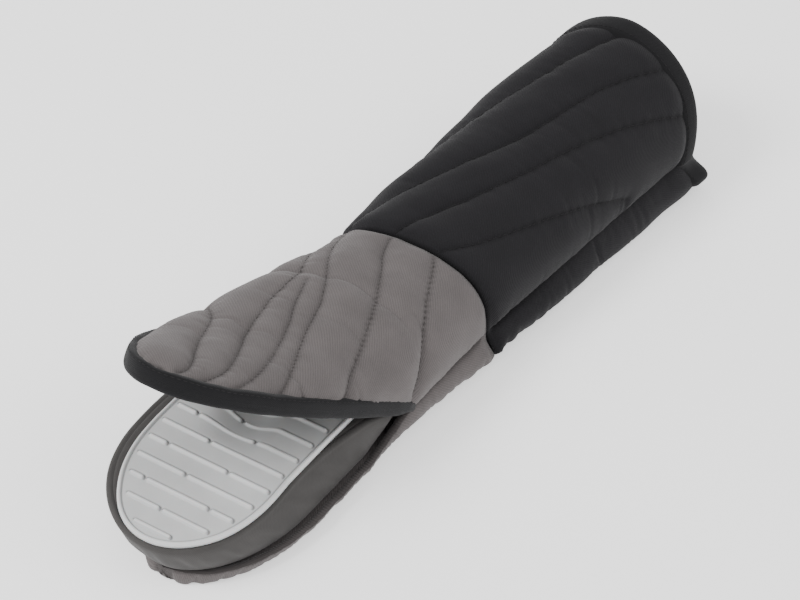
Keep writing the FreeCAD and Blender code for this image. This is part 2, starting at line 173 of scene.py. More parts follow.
def upper_point(s, t, depth=0.0, crown=None):
    """Points of the upper side at stations s and angles t (0 right seam, pi left), depth below it."""
    s, t, depth = np.broadcast_arrays(np.asarray(s, float), t, depth)
    height = key_value(CROWN, s) - depth if crown is None else key_value(crown, s)
    tilt = np.radians(key_value(TILT, s))
    bulge = key_value(UPPER_BULGE, s)
    free = s > 0
    taper = np.maximum(0.0, 1 - (np.maximum(s, 0) / (FLAP_LENGTH - depth)) ** FLAP_POWER) ** 0.5
    half = np.where(free, (FLAP_HALF_WIDTH - depth) * taper, key_value(SEAM_HALF, s) - depth)
    lean = key_value(CENTRE_Y, 0) + s * math.tan(FLAP_SKEW)
    centre = np.where(free, lean, key_value(CENTRE_Y, s))
    base_x = np.where(free, s * math.cos(RIM_ANGLE), s)
    base_z = np.where(free, SEAM_HEIGHT + s * math.sin(RIM_ANGLE), key_value(SEAM_Z, s))
    c, q = np.cos(t), np.sin(t)
    power = 2 / key_value(UPPER_POWER, s)
    y = signed_power(c, power) * (half + bulge) - bulge * c * np.abs(c) ** 3
    y = y + key_value(UPPER_SWAY, s) * q ** 2
    rise = np.abs(q) ** power * height
    overhang = rise / key_value(CROWN, s) * UPPER_OVERHANG * cuff_share(s)
    return np.stack([base_x - rise * np.sin(tilt) - overhang, centre + y, base_z + rise * np.cos(tilt)], -1)


def tongue_half(x, wide, tip, start=TIP_START_X, power=PALM_POWER):
    """Half width of a tongue-shaped outline at x: straight sides and a superellipse end."""
    u = np.maximum(0.0, (x - start) / (tip - start))
    return wide * np.maximum(0.0, 1 - u ** power) ** 0.5


def lower_point(s, t, depth=0.0):
    """Points of the lower side at stations s and angles t (0 right edge, pi left), depth above it."""
    s, t, depth = np.broadcast_arrays(np.asarray(s, float), t, depth)
    free = s > 0
    edge_z = np.where(free, key_value(EDGE_Z, s), key_value(SEAM_Z, s))
    bulge = key_value(LOWER_BULGE, s)
    centre = key_value(CENTRE_Y, s) + key_value(JAW_SWAY, s)
    wide = key_value([(0, FLAP_HALF_WIDTH), (60, JAW_HALF_WIDTH)], s)
    jaw = tongue_half(s, wide - depth, JAW_TIP_X - depth, JAW_TIP_START, JAW_POWER)
    half = np.where(free, jaw, key_value(SEAM_HALF, s) - depth)
    c, q = np.cos(t), np.sin(t)
    y = signed_power(c, 2 / LOWER_POWER) * (half + bulge) - bulge * c * np.abs(c) ** 5
    y = y + key_value(LOWER_SWAY, s) * q ** 2
    drop = np.abs(q) ** (2 / LOWER_POWER) * (edge_z - key_value(FLOOR_LIFT, s) - depth)
    overhang = drop / edge_z * LOWER_OVERHANG * cuff_share(s)
    return np.stack([s - overhang, centre + y, np.maximum(edge_z - drop, 0.0)], -1)


# ---- mesh helpers ----

def normals_of(grid):
    """Unit normals of a grid of points, by differences along its rows and columns."""
    along = np.gradient(grid, axis=0)
    across = np.gradient(grid, axis=1)
    normal = np.cross(along, across)
    size = np.linalg.norm(normal, axis=2, keepdims=True)
    return normal / np.maximum(size, 1e-9)


def outward(grid, middle):
    """Normals of a grid that point away from a middle point or a row of them."""
    normal = normals_of(grid)
    side = np.sum(normal * (grid - middle), axis=2, keepdims=True)
    return np.where(side < 0, -normal, normal)


def cloth_coordinates(grid):
    """Arc lengths in millimetres along and across a grid, for the weave to follow."""
    along = np.linalg.norm(np.diff(grid, axis=0, prepend=grid[:1]), axis=2).mean(axis=1).cumsum()
    steps = np.linalg.norm(np.diff(grid, axis=1, prepend=grid[:, :1]), axis=2).cumsum(axis=1)
    middle = steps[:, steps.shape[1] // 2][:, None]
    u = np.repeat(along[:, None], grid.shape[1], axis=1)
    return u, steps - middle


def grid_faces(rows, columns, start=0, wrap=False, flip=False):
    """Quads of a grid of points, wrapped round along its columns when asked."""
    r = np.arange(rows - 1)[:, None]
    c = np.arange(columns if wrap else columns - 1)[None, :]
    n = (c + 1) % columns
    quads = [r * columns + c, r * columns + n, (r + 1) * columns + n, (r + 1) * columns + c]
    faces = np.stack(quads, -1).reshape(-1, 4) + start
    return faces[:, ::-1] if flip else faces


def make_object(name, points, faces, material, attributes=None):
    """A smooth mesh object from points in millimetres, with normals turned outwards."""
    mesh = bpy.data.meshes.new(name)
    mesh.from_pydata((np.asarray(points) * MM).tolist(), [], [list(map(int, f)) for f in faces])
    for key, values in (attributes or {}).items():
        layer = mesh.attributes.new(key, "FLOAT", "POINT")
        layer.data.foreach_set("value", np.asarray(values, np.float32).ravel())
    work = bmesh.new()
    work.from_mesh(mesh)
    bmesh.ops.remove_doubles(work, verts=work.verts, dist=1e-6)
    bmesh.ops.recalc_face_normals(work, faces=work.faces)
    work.to_mesh(mesh)
    work.free()
    mesh.polygons.foreach_set("use_smooth", [True] * len(mesh.polygons))
    mesh.materials.append(material)
    piece = bpy.data.objects.new(name, mesh)
    bpy.context.scene.collection.objects.link(piece)
    return piece


def thick_sheet(name, outer, inner, material, attributes):
    """Closed form between two grids of points, joined all round their borders."""
    rows, columns = outer.shape[:2]
    count = rows * columns
    ring = [i * columns for i in range(rows)]
    ring += [(rows - 1) * columns + j for j in range(1, columns)]
    ring += [i * columns + columns - 1 for i in range(rows - 2, -1, -1)]
    ring += [j for j in range(columns - 2, 0, -1)]
    faces = list(grid_faces(rows, columns)) + list(grid_faces(rows, columns, count, flip=True))
    for a, b in zip(ring, ring[1:] + ring[:1]):
        faces.append((a, b, b + count, a + count))
    points = np.concatenate([outer.reshape(-1, 3), inner.reshape(-1, 3)])
    both = {key: np.concatenate([v.ravel(), v.ravel()]) for key, v in attributes.items()}
    return make_object(name, points, faces, material, both)


def swept(name, rings, material, closed, attributes=None):
    """Closed tube through a grid of rings, with fanned ends unless it closes on itself."""
    rows, columns = rings.shape[:2]
    points = rings.reshape(-1, 3)
    faces = list(grid_faces(rows, columns, wrap=True))
    if closed:
        last = (rows - 1) * columns
        faces += [(last + j, last + (j + 1) % columns, (j + 1) % columns, j) for j in range(columns)]
    else:
        points = np.concatenate([points, [rings[0].mean(0), rings[-1].mean(0)]])
        first, last = rows * columns, (rows - 1) * columns
        faces += [(j, (j + 1) % columns, first) for j in range(columns)]
        faces += [(last + j, last + (j + 1) % columns, first + 1) for j in range(columns)]
        if attributes:
            attributes = {k: np.append(v.ravel(), [0.0, 0.0]) for k, v in attributes.items()}
    return make_object(name, points, faces, material, attributes)


def smooth_line(keys, count):
    """Evenly numbered points on a smooth curve through two-dimensional keys."""
    place = np.linspace(0, len(keys) - 1, count)
    first = key_value([(i, k[0]) for i, k in enumerate(keys)], place)
    second = key_value([(i, k[1]) for i, k in enumerate(keys)], place)
    return first, second


def nearest(points, lines):
    """Distance from each point to the nearest of some lines, and the place along that line."""
    best = np.full(len(points), 1e9)
    place = np.zeros(len(points))
    for line in lines:
        a, step = line[:-1], np.diff(line, axis=0)
        length = np.maximum(np.linalg.norm(step, axis=1), 1e-6)
        start = np.concatenate(([0.0], np.cumsum(length)[:-1]))
        relative = points[:, None, :] - a[None]
        u = np.clip((relative * step).sum(2) / length ** 2, 0, 1)
        gap = np.linalg.norm(relative - u[..., None] * step, axis=2)
        i = gap.argmin(1)
        rows = np.arange(len(points))
        closer = gap[rows, i] < best
        best = np.where(closer, gap[rows, i], best)
        place = np.where(closer, start[i] + u[rows, i] * length[i], place)
    return best, place


def ripple(x, seed):
    """Smooth uneven wave of size about 1, from a few sines with set phases."""
    total = np.zeros_like(x)
    for i, period in enumerate((23.0, 13.0, 8.5)):
        total += np.sin(2 * math.pi * x / period + seed * 1.7 + i * 2.1) / (i + 1.4)
    return total


# ---- materials ----

def new_material(name):
    material = bpy.data.materials.new(name)
    material.use_nodes = True
    nodes = material.node_tree.nodes
    return material, nodes, material.node_tree.links, nodes["Principled BSDF"]


def node(nodes, kind, **inputs):
    """A new node with its named input sockets set."""
    made = nodes.new(kind)
    for key, value in inputs.items():
        made.inputs[key].default_value = value
    return made


def attribute(nodes, name):
    """The output of a mesh attribute read by name."""
    made = nodes.new("ShaderNodeAttribute")
    made.attribute_name = name
    return made.outputs["Fac"]


def ranged(nodes, links, source, lowest, highest, start=0.0, end=1.0):
    """A value from start to end, mapped on to lowest to highest."""
    made = node(nodes, "ShaderNodeMapRange")
    links.new(source, made.inputs["Value"])
    made.inputs["From Min"].default_value = start
    made.inputs["From Max"].default_value = end
    made.inputs["To Min"].default_value = lowest
    made.inputs["To Max"].default_value = highest
    return made.outputs["Result"]


def shaded(nodes, links, shader, colour, factors):
    """Base colour: one colour times the product of some factors."""
    product = factors[0]
    for factor in factors[1:]:
        times = nodes.new("ShaderNodeMath")
        times.operation = "MULTIPLY"
        links.new(product, times.inputs[0])
        links.new(factor, times.inputs[1])
        product = times.outputs["Value"]
    scaled = nodes.new("ShaderNodeVectorMath")
    scaled.operation = "SCALE"
    scaled.inputs[0].default_value = colour
    links.new(product, scaled.inputs["Scale"])
    links.new(scaled.outputs["Vector"], shader.inputs["Base Color"])


def bumped(nodes, links, shader, height, strength, distance):
    """Fine relief from a height, as a bump of a given depth."""
    bump = nodes.new("ShaderNodeBump")
    bump.inputs["Strength"].default_value = strength
    bump.inputs["Distance"].default_value = distance
    links.new(height, bump.inputs["Height"])
    links.new(bump.outputs["Normal"], shader.inputs["Normal"])


def cloth(name, colour, weave, relief, sheen, fuzz=0.12):
    """Twill cloth: a diagonal weave and yarn flecks along the panel, with painted shade darkening it along
    its seams and quilting lines.
    """
    material, nodes, links, shader = new_material(name)
    shader.inputs["Roughness"].default_value = 0.92
    shader.inputs["Specular IOR Level"].default_value = 0.25
    shader.inputs["Sheen Weight"].default_value = sheen
    shader.inputs["Sheen Roughness"].default_value = 0.45
    place = nodes.new("ShaderNodeCombineXYZ")
    links.new(attribute(nodes, "cloth_u"), place.inputs["X"])
    links.new(attribute(nodes, "cloth_v"), place.inputs["Y"])
    twill = nodes.new("ShaderNodeTexWave")
    twill.bands_direction = "DIAGONAL"
    twill.inputs["Scale"].default_value = 2 * math.pi / (10 * math.sqrt(2) * weave)
    twill.inputs["Distortion"].default_value = 1.2
    twill.inputs["Detail Scale"].default_value = 0.6
    fleck = node(nodes, "ShaderNodeTexNoise", Scale=1.6, Detail=3.0, Roughness=0.7)
    patch = node(nodes, "ShaderNodeTexNoise", Scale=0.045, Detail=3.0, Roughness=0.55)
    for texture in (twill, fleck, patch):
        links.new(place.outputs["Vector"], texture.inputs["Vector"])
    tone = ranged(nodes, links, fleck.outputs["Fac"], 1 - fuzz, 1 + fuzz, 0.3, 0.7)
    broad = ranged(nodes, links, patch.outputs["Fac"], 0.93, 1.07, 0.35, 0.65)
    # painted shade: the colour darkens where the cloth sinks into a seam or quilting line
    seam = ranged(nodes, links, attribute(nodes, "seam_shade"), 1.0, 0.62)
    strands = ranged(nodes, links, twill.outputs["Fac"], 0.9, 1.08)
    shaded(nodes, links, shader, colour, (tone, broad, seam, strands))
    height = nodes.new("ShaderNodeMath")
    height.operation = "ADD"
    links.new(twill.outputs["Fac"], height.inputs[0])
    links.new(fleck.outputs["Fac"], height.inputs[1])
    bumped(nodes, links, shader, height.outputs["Value"], relief, 0.25 * MM)
    return material


def silicone(name, colour):
    """Matt moulded silicone: faint mould texture, painted shade in the creases and the groove, and paler on
    its raised ribs and rim.
    """
    material, nodes, links, shader = new_material(name)
    shader.inputs["Specular IOR Level"].default_value = 0.4
    shader.inputs["Subsurface Weight"].default_value = 0.06
    shader.inputs["Subsurface Scale"].default_value = 2 * MM
    where = nodes.new("ShaderNodeTexCoord")
    grain = node(nodes, "ShaderNodeTexNoise", Scale=1800.0, Detail=2.0)
    smear = node(nodes, "ShaderNodeTexNoise", Scale=45.0, Detail=4.0, Roughness=0.6)
    for texture in (grain, smear):
        links.new(where.outputs["Object"], texture.inputs["Vector"])
    tone = ranged(nodes, links, smear.outputs["Fac"], 0.94, 1.05, 0.3, 0.7)
    # lighter on the raised ribs and rim, darker on the flat field between them
    raised_tone = ranged(nodes, links, attribute(nodes, "raised"), 0.9, 1.08)
    # painted shade: darker in the creases behind the ribs and in the groove inside the rim
    painted_crease_shade = ranged(nodes, links, attribute(nodes, "crease_shade"), 1.0, 0.45)
    shaded(nodes, links, shader, colour, (tone, raised_tone, painted_crease_shade))
    gloss = ranged(nodes, links, smear.outputs["Fac"], 0.4, 0.58)
    links.new(gloss, shader.inputs["Roughness"])
    bumped(nodes, links, shader, grain.outputs["Fac"], 0.12, 0.1 * MM)
    return material


GREY = (0.108, 0.0965, 0.0955)
BLACK = (0.0105, 0.0099, 0.0115)
GREY_CLOTH = cloth("grey_twill", GREY, 1.3, 0.5, 0.12)
BLACK_CLOTH = cloth("black_twill", BLACK, 1.3, 0.5, 0.06, 0.2)
GUSSET_CLOTH = cloth("gusset_cloth", (0.058, 0.055, 0.0535), 0.8, 0.3, 0.1, 0.06)
BINDING_CLOTH = cloth("binding_tape", (0.0072, 0.007, 0.008), 0.9, 0.4, 0.08, 0.1)
LINING_CLOTH = cloth("lining_cloth", (0.045, 0.043, 0.046), 0.7, 0.3, 0.05, 0.08)
GREY_THREAD = cloth("grey_thread", (0.07, 0.063, 0.062), 0.5, 0.3, 0.0)
BLACK_THREAD = cloth("black_thread", (0.02, 0.019, 0.02), 0.5, 0.3, 0.0)
SILICONE = silicone("grey_silicone", (0.60, 0.605, 0.605))


# ---- quilted covers ----

SIM_SCALE = 0.1            # the solver works on a sheet a hundred times its real size
SIM_FRAMES = 20
SIM_QUALITY = 4
SIM_BENDING = 0.5
SIM_PRESSURE = 3.0
SIM_SLACK = 0.035          # how much the cloth is larger than the panel it covers
SIM_LIMIT = 4.5            # no point of the cloth moves further than this, in millimetres
PIN_FADE = 2.5             # the hold of a border fades over about this many grid rows
PIN_NEAR = 0.5             # closeness to a seam above this counts as stitched down
PIN_HOLD = 0.95
LEAST_PIN = 0.05

PUFF_SHARE = 0.55          # share of the swell that lies below the panel's own surface at a seam
PUFF_REACH = 6.5
PUCKER_HEIGHT = 0.32
PUCKER_PLACE = 4.0
PUCKER_WIDTH = 5.0
DRIFT_HEIGHT = 0.5
SEAM_WIDTH = 1.3
EDGE_TUCK = 0.6


def settled(grid, normal, held):
    """A sheet held along its seams, swollen and creased by a short cloth simulation."""
    rows, columns = grid.shape[:2]
    faces = grid_faces(rows, columns)
    corners = grid.reshape(-1, 3)[faces]
    facing = np.cross(corners[:, 1] - corners[:, 0], corners[:, 2] - corners[:, 0])
    if np.sum(facing * normal[:-1, :-1].reshape(-1, 3)) < 0:
        faces = faces[:, ::-1]
    mesh = bpy.data.meshes.new("settling")
    mesh.from_pydata((grid.reshape(-1, 3) * SIM_SCALE).tolist(), [], faces.tolist())
    sheet = bpy.data.objects.new("settling", mesh)
    bpy.context.scene.collection.objects.link(sheet)
    pins = sheet.vertex_groups.new(name="pins")
    weights = held.ravel()
    for i in np.nonzero(weights > LEAST_PIN)[0]:
        pins.add([int(i)], float(weights[i]), "REPLACE")
    modifier = sheet.modifiers.new("cloth", "CLOTH")
    cloth_settings = modifier.settings
    cloth_settings.quality = SIM_QUALITY
    cloth_settings.vertex_group_mass = "pins"
    cloth_settings.bending_stiffness = SIM_BENDING
    cloth_settings.use_pressure = True
    cloth_settings.uniform_pressure_force = SIM_PRESSURE
    cloth_settings.effector_weights.gravity = 0
    cloth_settings.shrink_min = -SIM_SLACK
    cloth_settings.shrink_max = -SIM_SLACK
    modifier.collision_settings.use_collision = False
    modifier.point_cache.frame_start = 1
    modifier.point_cache.frame_end = SIM_FRAMES
    for step in range(1, SIM_FRAMES + 1):
        bpy.context.scene.frame_set(step)
    result = sheet.evaluated_get(bpy.context.evaluated_depsgraph_get())
    points = np.empty(grid.size)
    result.data.vertices.foreach_get("co", points)
    move = points.reshape(grid.shape) / SIM_SCALE - grid
    bpy.data.objects.remove(sheet)
    bpy.context.scene.frame_set(1)
    size = np.linalg.norm(move, axis=2, keepdims=True)
    return grid + move * SIM_LIMIT * np.tanh(size / SIM_LIMIT) / np.maximum(size, 1e-6)


def puff(grid, normal, lines, borders, swell, seed):
    """A cover swollen between its seams and quilting lines, with puckers beside them."""
    flat = grid.reshape(-1, 3)
    from_line, place = nearest(flat, lines)
    from_border, border_place = nearest(flat, borders)
    along = np.where(from_line < from_border, place, border_place)
    gap = np.minimum(from_line, from_border * 1.1)
    soft = np.sqrt(gap ** 2 + 1.2) - 1.1
    rise = swell * (1 - np.exp(-soft / PUFF_REACH)) - PUFF_SHARE * swell
    puckers = PUCKER_HEIGHT * np.exp(-((gap - PUCKER_PLACE) / PUCKER_WIDTH) ** 2) * ripple(along, seed)
    drift = DRIFT_HEIGHT * ripple(flat[:, 0] * 0.32 + flat[:, 1] * 0.21, seed + 2)
    height = (rise + puckers + drift * np.clip(gap / 10, 0, 1)).reshape(grid.shape[:2])
    # closeness to a seam or quilting line, which pins the cloth there and also sets the painted shade along
    # it
    near = np.exp(-(gap / SEAM_WIDTH) ** 2).reshape(grid.shape[:2])
    return grid + normal * height[..., None], near


def cover(name, surface, stations, angles, lines, swell, depth, material, open_rows=0):
    """Padded panel on a surface: puffed and settled outside, plain inside, closed all round."""
    s, t = np.meshgrid(stations, angles, indexing="ij")
    base = surface(s, t)
    middle = surface(s, t, 15.0).mean(axis=1, keepdims=True)
    normal = outward(base, middle)
    routes = [smooth_line([(a, math.radians(b)) for a, b in line], 60) for line in lines]
    borders = [base[:, 0], base[:, -1], base[-1]]
    if not open_rows:
        borders.append(base[0])
    outer, near = puff(base, normal, [surface(*route) for route in routes], borders, swell, len(stations))
    rows_in, columns_in = [np.minimum(np.arange(n), np.arange(n)[::-1]) for n in s.shape]
    edges = np.maximum.outer(np.exp(-(rows_in / PIN_FADE) ** 2), np.exp(-(columns_in / PIN_FADE) ** 2))
    outer = settled(outer, normal, np.maximum(edges, (near > PIN_NEAR) * PIN_HOLD))
    if open_rows:
        ease = smooth_step(0, open_rows, np.arange(len(stations)))[:, None, None]
        outer = (base - normal * EDGE_TUCK) * (1 - ease) + outer * ease
    outer[..., 2] = np.maximum(outer[..., 2], 0.0)
    inner = surface(s, t, depth)
    inner[..., 2] = np.maximum(inner[..., 2], outer[..., 2].min() + 0.1)
    u, v = cloth_coordinates(base)
    # painted shade along the seams and quilting lines goes in with the weave's coordinates
    attributes = {"cloth_u": u, "cloth_v": v, "seam_shade": near}
    piece = thick_sheet(name, outer, inner, material, attributes)
    paths = [on_grid(outer, stations, angles, *route) for route in routes]
    rises = [on_grid(normal, stations, angles, *route) for route in routes]
    return piece, paths, rises


def on_grid(grid, stations, angles, s, t):
    """Points of a grid at in-between stations and angles."""
    row = np.interp(s, stations, np.arange(len(stations)))
    column = np.interp(t, angles, np.arange(len(angles)))
    r = np.minimum(row.astype(int), len(stations) - 2)
    c = np.minimum(column.astype(int), len(angles) - 2)
    a, b = (row - r)[:, None], (column - c)[:, None]
    near_row = grid[r, c] * (1 - b) + grid[r, c + 1] * b
    far_row = grid[r + 1, c] * (1 - b) + grid[r + 1, c + 1] * b
    return near_row * (1 - a) + far_row * a


STITCH_PITCH = 3.4
STITCH_LENGTH = 2.3
STITCH_RADIUS = 0.22
STITCH_LIFT = 0.15


def stitches(name, paths, rises, material):
    """Rows of single thread stitches along paths, each a short rounded strand."""
    around = np.linspace(0, 2 * math.pi, 6, endpoint=False)[:, None]
    shares = np.linspace(0, 1, 6)
    points, faces = [], []
    for path, rise in zip(paths, rises):
        place = np.concatenate(([0.0], np.cumsum(np.linalg.norm(np.diff(path, axis=0), axis=1))))
        for start in np.arange(1.0, place[-1] - STITCH_PITCH, STITCH_PITCH):
            where = start + shares * STITCH_LENGTH
            centre = np.stack([np.interp(where, place, path[:, k]) for k in range(3)], -1)
            up = np.array([np.interp(start, place, rise[:, k]) for k in range(3)])
            up /= np.linalg.norm(up)
            ahead = centre[-1] - centre[0]
            side = np.cross(ahead, up) / np.linalg.norm(ahead)
            round_off = np.sqrt(np.sin(math.pi * (shares * 0.9 + 0.05)))
            centre = centre + up * (STITCH_LIFT * round_off)[:, None]
            first = len(points) * len(around)
            for k in range(len(shares)):
                size = STITCH_RADIUS * round_off[k]
                points.append(centre[k] + size * (np.cos(around) * side + np.sin(around) * up))
            faces += [tuple(f) for f in grid_faces(len(shares), len(around), first, wrap=True)]
            last = first + (len(shares) - 1) * len(around)
            faces.append(tuple(range(first, first + len(around))))
            faces.append(tuple(range(last + len(around) - 1, last - 1, -1)))
    points = np.concatenate(points)
    attributes = {"cloth_u": points[:, 0] * 2, "cloth_v": points[:, 1] * 2, "seam_shade": points[:, 0] * 0}
    return make_object(name, points, faces, material, attributes)


def tip_spaced(first, start, last, step):
    """Stations that come closer together towards a rounded tip."""
    even = np.arange(first, start, step)
    turns = np.linspace(0, math.pi / 2, int((last - start) / step * 1.6))
    return np.concatenate([even, start + (last - start) * np.sin(turns)])


def section_angles(count):
    """Angles from seam to seam, closer together at the seams, where the sections curve most."""
    i = np.linspace(0, 1, count)
    return math.pi * (i - 0.055 * np.sin(4 * math.pi * i))


def upper_cover():
    stations = tip_spaced(WRIST_X + 0.3, 105.0, FLAP_LENGTH - 0.6, 1.7)
    piece, paths, rises = cover("upper_cover", upper_point, stations, section_angles(108),
                                HAND_LINES, 1.6, 6.0, GREY_CLOTH)
    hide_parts("hand_upper_panel", "hand_upper_wadding", "knuckle_fold", "flap_outer_panel",
                "flap_wadding", "mouth_corner_folds")
    thread = stitches("upper_quilting_thread", paths, rises, GREY_THREAD)
    for each in (piece, thread):
        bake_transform(each)


def lower_cover():
    stations = tip_spaced(WRIST_X + 0.3, JAW_TIP_START, JAW_TIP_X - 0.3, 1.9)
    piece = cover("lower_cover", lower_point, stations, section_angles(96),
                  LOWER_LINES[2:], 2.0, 5.0, GREY_CLOTH)[0]
    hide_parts("lower_panel", "lower_wadding")
    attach(piece, "hand")


def cuff_covers():
    stations = np.arange(OPENING_X + 1.5, WRIST_X, 1.8)
    upper, paths, rises = cover("cuff_upper_cover", upper_point, stations, section_angles(100),
                                CUFF_LINES, 1.8, 6.0, BLACK_CLOTH, open_rows=9)
    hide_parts("cuff_upper_panel", "cuff_upper_wadding", "cuff_upper_root")
    thread = stitches("cuff_quilting_thread", paths, rises, BLACK_THREAD)
    lower = cover("cuff_lower_cover", lower_point, stations, section_angles(92),
                  LOWER_LINES[:2], 2.2, 5.6, BLACK_CLOTH, open_rows=9)[0]
    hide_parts("cuff_lower_panel", "cuff_lower_wadding", "cuff_lower_root")
    for piece in (upper, lower, thread):
        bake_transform(piece)


LINING_DEPTHS = (6.2, 7.0)
LINING_STEP = 5.0


def linings():
    """Smooth inner walls of the cuff and of the hand, as closed tubes."""
    around = section_angles(60)
    for name, stations, replaced in (
            ("cuff_lining", np.arange(OPENING_X + 2, WRIST_X, LINING_STEP),
             ("cuff_upper_lining", "cuff_lower_lining")),
            ("hand_lining", np.arange(WRIST_X, 8.0, LINING_STEP), ("hand_upper_lining", "lower_lining"))):
        s, t = np.meshgrid(stations, around, indexing="ij")
        walls = []
        for depth in LINING_DEPTHS:
            ring = [upper_point(s, t, depth), lower_point(s, t, depth)[:, -2:0:-1]]
            walls.append(np.concatenate(ring, axis=1))
        outer, inner = walls
        rows, columns = outer.shape[:2]
        faces = list(grid_faces(rows, columns, wrap=True))
        faces += list(grid_faces(rows, columns, rows * columns, wrap=True, flip=True))
        for start in (0, (rows - 1) * columns):
            for j in range(columns):
                k = (j + 1) % columns
                faces.append((start + j, start + k, start + k + rows * columns, start + j + rows * columns))
        u, v = cloth_coordinates(outer)
        both = {"cloth_u": np.append(u, u), "cloth_v": np.append(v, v), "seam_shade": np.zeros(u.size * 2)}
        piece = make_object(name, np.concatenate([outer.reshape(-1, 3), inner.reshape(-1, 3)]), faces,
                            LINING_CLOTH, both)
        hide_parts(*replaced)
        if name == "cuff_lining":
            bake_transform(piece)
        else:
            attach(piece, "hand")


# ---- lower jaw ----

def tongue(wide, tip, first_x, sway, start=TIP_START_X, power=PALM_POWER, count=220):
    """Points (x, y) of a tongue from its right root round the tip to its left root."""
    straight = int(count * 0.2)
    x_side = np.linspace(first_x, start, straight, endpoint=False)
    turn = np.linspace(math.pi / 2, 0, count // 2 - straight)
    x_tip = start + (tip - start) * np.abs(np.cos(turn)) ** (2 / power)
    x = np.concatenate([x_side, x_tip])
    y = np.concatenate([np.full(straight, wide), wide * np.sin(turn)])
    x, y = np.append(x, x[-2::-1]), np.append(y, -y[-2::-1])
    return np.stack([x, y + key_value(CENTRE_Y, x) + key_value(sway, x)], -1)


def trough(x, y):
    """How far the palm sinks in its middle, towards the back of the mouth."""
    off = np.clip((y - TROUGH_Y) / TROUGH_HALF_WIDTH, -1, 1)
    return TROUGH_DEPTH * smooth_step(92.0, 48.0, x) * (1 - off ** 2) ** 2


WALL_ROOT_X = 1.0
WALL_SWELL = 1.2
WALL_DENT = 0.55
WALL_FADE = 30.0            # the swell fades over this length at both roots
WALL_ROUND_WIDTH = 2.6
WALL_ROUND_HEIGHT = 2.4
WALL_THICKNESS = 1.6
PAD_OVERLAP = 3.0


def jaw_side():
    """Side wall of the lower jaw, rounded over its top edge and on under the pad's rim."""
    low = tongue(WALL_HALF_WIDTH, WALL_TIP_X, WALL_ROOT_X, WALL_SWAY, JAW_TIP_START, JAW_POWER)
    high = tongue(TOP_HALF_WIDTH, TOP_TIP_X, WALL_ROOT_X, PALM_SWAY)
    inside = tongue(PAD_HALF_WIDTH - PAD_OVERLAP, PAD_TIP_X - PAD_OVERLAP, WALL_ROOT_X, PAD_SWAY)
    place = np.concatenate(([0.0], np.cumsum(np.linalg.norm(np.diff(high, axis=0), axis=1))))
    bottom = key_value(EDGE_Z, low[:, 0])
    top = key_value(RIM_TOP_Z, high[:, 0]) + 1.0
    away = np.gradient(high, axis=0)
    away = np.stack([-away[:, 1], away[:, 0]], -1)
    away /= np.linalg.norm(away, axis=1, keepdims=True)
    away *= -np.sign(np.sum(away * (inside - high), axis=1, keepdims=True))
    rows = []
    fade = np.clip(place / WALL_FADE, 0, 1) * np.clip((place[-1] - place) / WALL_FADE, 0, 1)
    swell = WALL_SWELL * fade
    for v in np.linspace(0, 1, 17):
        flat = low * (1 - v) + high * v
        dent = WALL_DENT * ripple(place * 1.15, 5) * math.sin(math.pi * v)
        out = (swell + dent * np.clip(swell, 0, 1)) * math.sin(math.pi * v) ** 0.7 - WALL_SWELL * (v == 0)
        z = bottom + (top - bottom - WALL_ROUND_HEIGHT) * v
        rows.append(np.column_stack([flat + away * out[:, None], z]))
    for turn in np.linspace(0.15, 1.0, 6) * math.pi / 2:
        flat = high - away * (WALL_ROUND_WIDTH * (1 - math.cos(turn)))
        rows.append(np.column_stack([flat, top - WALL_ROUND_HEIGHT * (1 - math.sin(turn))]))
    for v in (0.25, 0.5, 0.75, 1.0):
        edge = high - away * WALL_ROUND_WIDTH
        flat = edge * (1 - v) + inside * v
        sink = 1.3 * math.sin(math.pi * min(v, 0.62) / 1.24)
        rows.append(np.column_stack([flat, top - sink * np.clip(swell, 0, 1)]))
    outer = np.stack(rows, 1)
    toward = np.column_stack([-away, np.zeros(len(away))])
    inner = outer + toward[:, None, :] * WALL_THICKNESS
    inner[:, -8:, 2] -= 1.2
    u, v = cloth_coordinates(outer)
    # painted shade at the foot of the wall, along its seam with the lower cover
    near = np.exp(-(v - v[:, :1]) / 2.0) * 0.8
    attributes = {"cloth_u": u, "cloth_v": v, "seam_shade": near}
    piece = thick_sheet("jaw_side_cover", outer, inner, GUSSET_CLOTH, attributes)
    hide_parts("jaw_gusset", "jaw_gusset_wadding")
    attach(piece, "hand")


def palm_grid(wide, tip, first_x, columns, rows, sway):
    """(x, y) grid over a tongue: columns run across, closer together at the tip."""
    even = np.arange(first_x, TIP_START_X, columns)
    turns = np.linspace(0, math.pi / 2, int((tip - TIP_START_X) / columns * 1.5))
    x = np.concatenate([even, TIP_START_X + (tip - 0.05 - TIP_START_X) * np.sin(turns)])
    across = np.sin(np.linspace(-1, 1, rows) * math.pi / 2 * 0.97) / math.sin(math.pi / 2 * 0.97)
    half = tongue_half(x, wide, tip)
    grid_x = np.repeat(x[:, None], rows, axis=1)
    centre = key_value(CENTRE_Y, x) + key_value(sway, x)
    grid_y = centre[:, None] + half[:, None] * (0.45 * across + 0.55 * np.linspace(-1, 1, rows))
    return grid_x, grid_y


PALM_TOP = 31.9
PALM_THICKNESS = 1.5


def palm_facing():
    """Fabric under the pad, dipping with it and lower at the corners of the mouth."""
    x, y = palm_grid(TOP_HALF_WIDTH - 4, TOP_TIP_X - 4, FACING_START_X - 8, 4.0, 30, PALM_SWAY)
    z = PALM_TOP - trough(x, y) - 7.0 * np.clip((18.0 - x) / 14.0, 0, 1) ** 1.5 * np.abs(y / 48) ** 2
    outer = np.stack([x, y, z], -1)
    inner = outer - np.array([0, 0, PALM_THICKNESS])
    u, v = cloth_coordinates(outer)
    piece = thick_sheet("palm_facing_cover", outer, inner, GUSSET_CLOTH,
                        {"cloth_u": u, "cloth_v": v, "seam_shade": np.zeros_like(u)})
    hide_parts("palm_facing", "palm_wadding", "palm_lining")
    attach(piece, "hand")


